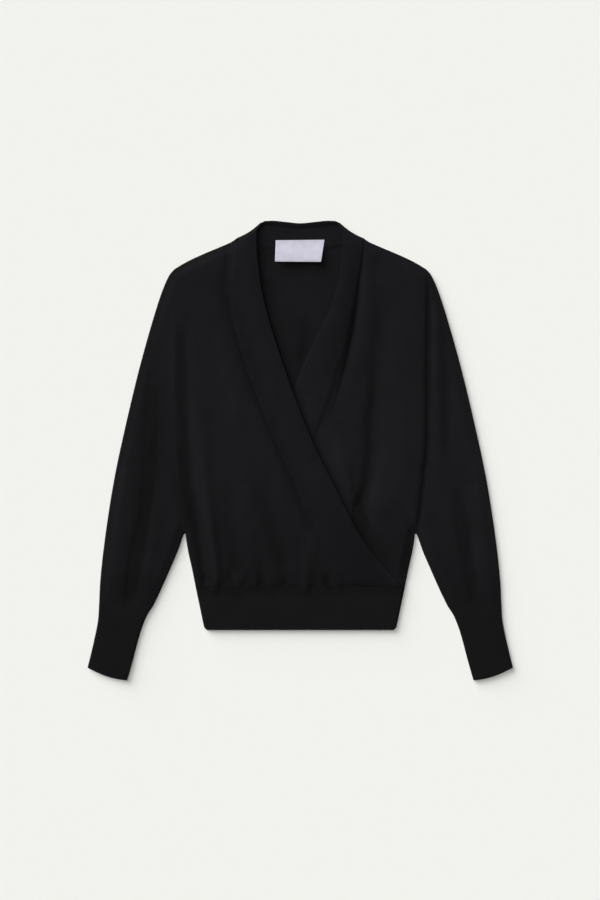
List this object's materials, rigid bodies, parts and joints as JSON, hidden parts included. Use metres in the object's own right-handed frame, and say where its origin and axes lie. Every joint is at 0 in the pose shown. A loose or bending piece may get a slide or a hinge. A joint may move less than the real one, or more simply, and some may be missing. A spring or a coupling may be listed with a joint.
{
  "type": "knitted wrap top",
  "caption": "Fine-knit wrap top laid flat on its back, with a crossed V neck band, wide sleeves, narrow cuffs and a deep waistband.",
  "frame": {"origin": "on the surface that the garment lies on, at the middle of its width and of its length", "axes": "+X to the wearer's left, +Y towards the neck, +Z away from the surface, out of the garment's front"},
  "size_m": [0.615, 0.6656, 0.0131],
  "materials": {
    "jersey": "matt black fine-gauge knit",
    "rib": "matt black double knit",
    "band": "matt black doubled knit band",
    "label": "pale woven satin, bare"
  },
  "bodies": {
    "root": {"back": "jersey", "front_right": "jersey", "front_left": "jersey", "sleeve_right": "jersey", "sleeve_left": "jersey", "cuff_right": "rib", "cuff_left": "rib", "waistband": "rib", "neckband": "band", "label": "label"}
  },
  "joints": []
}
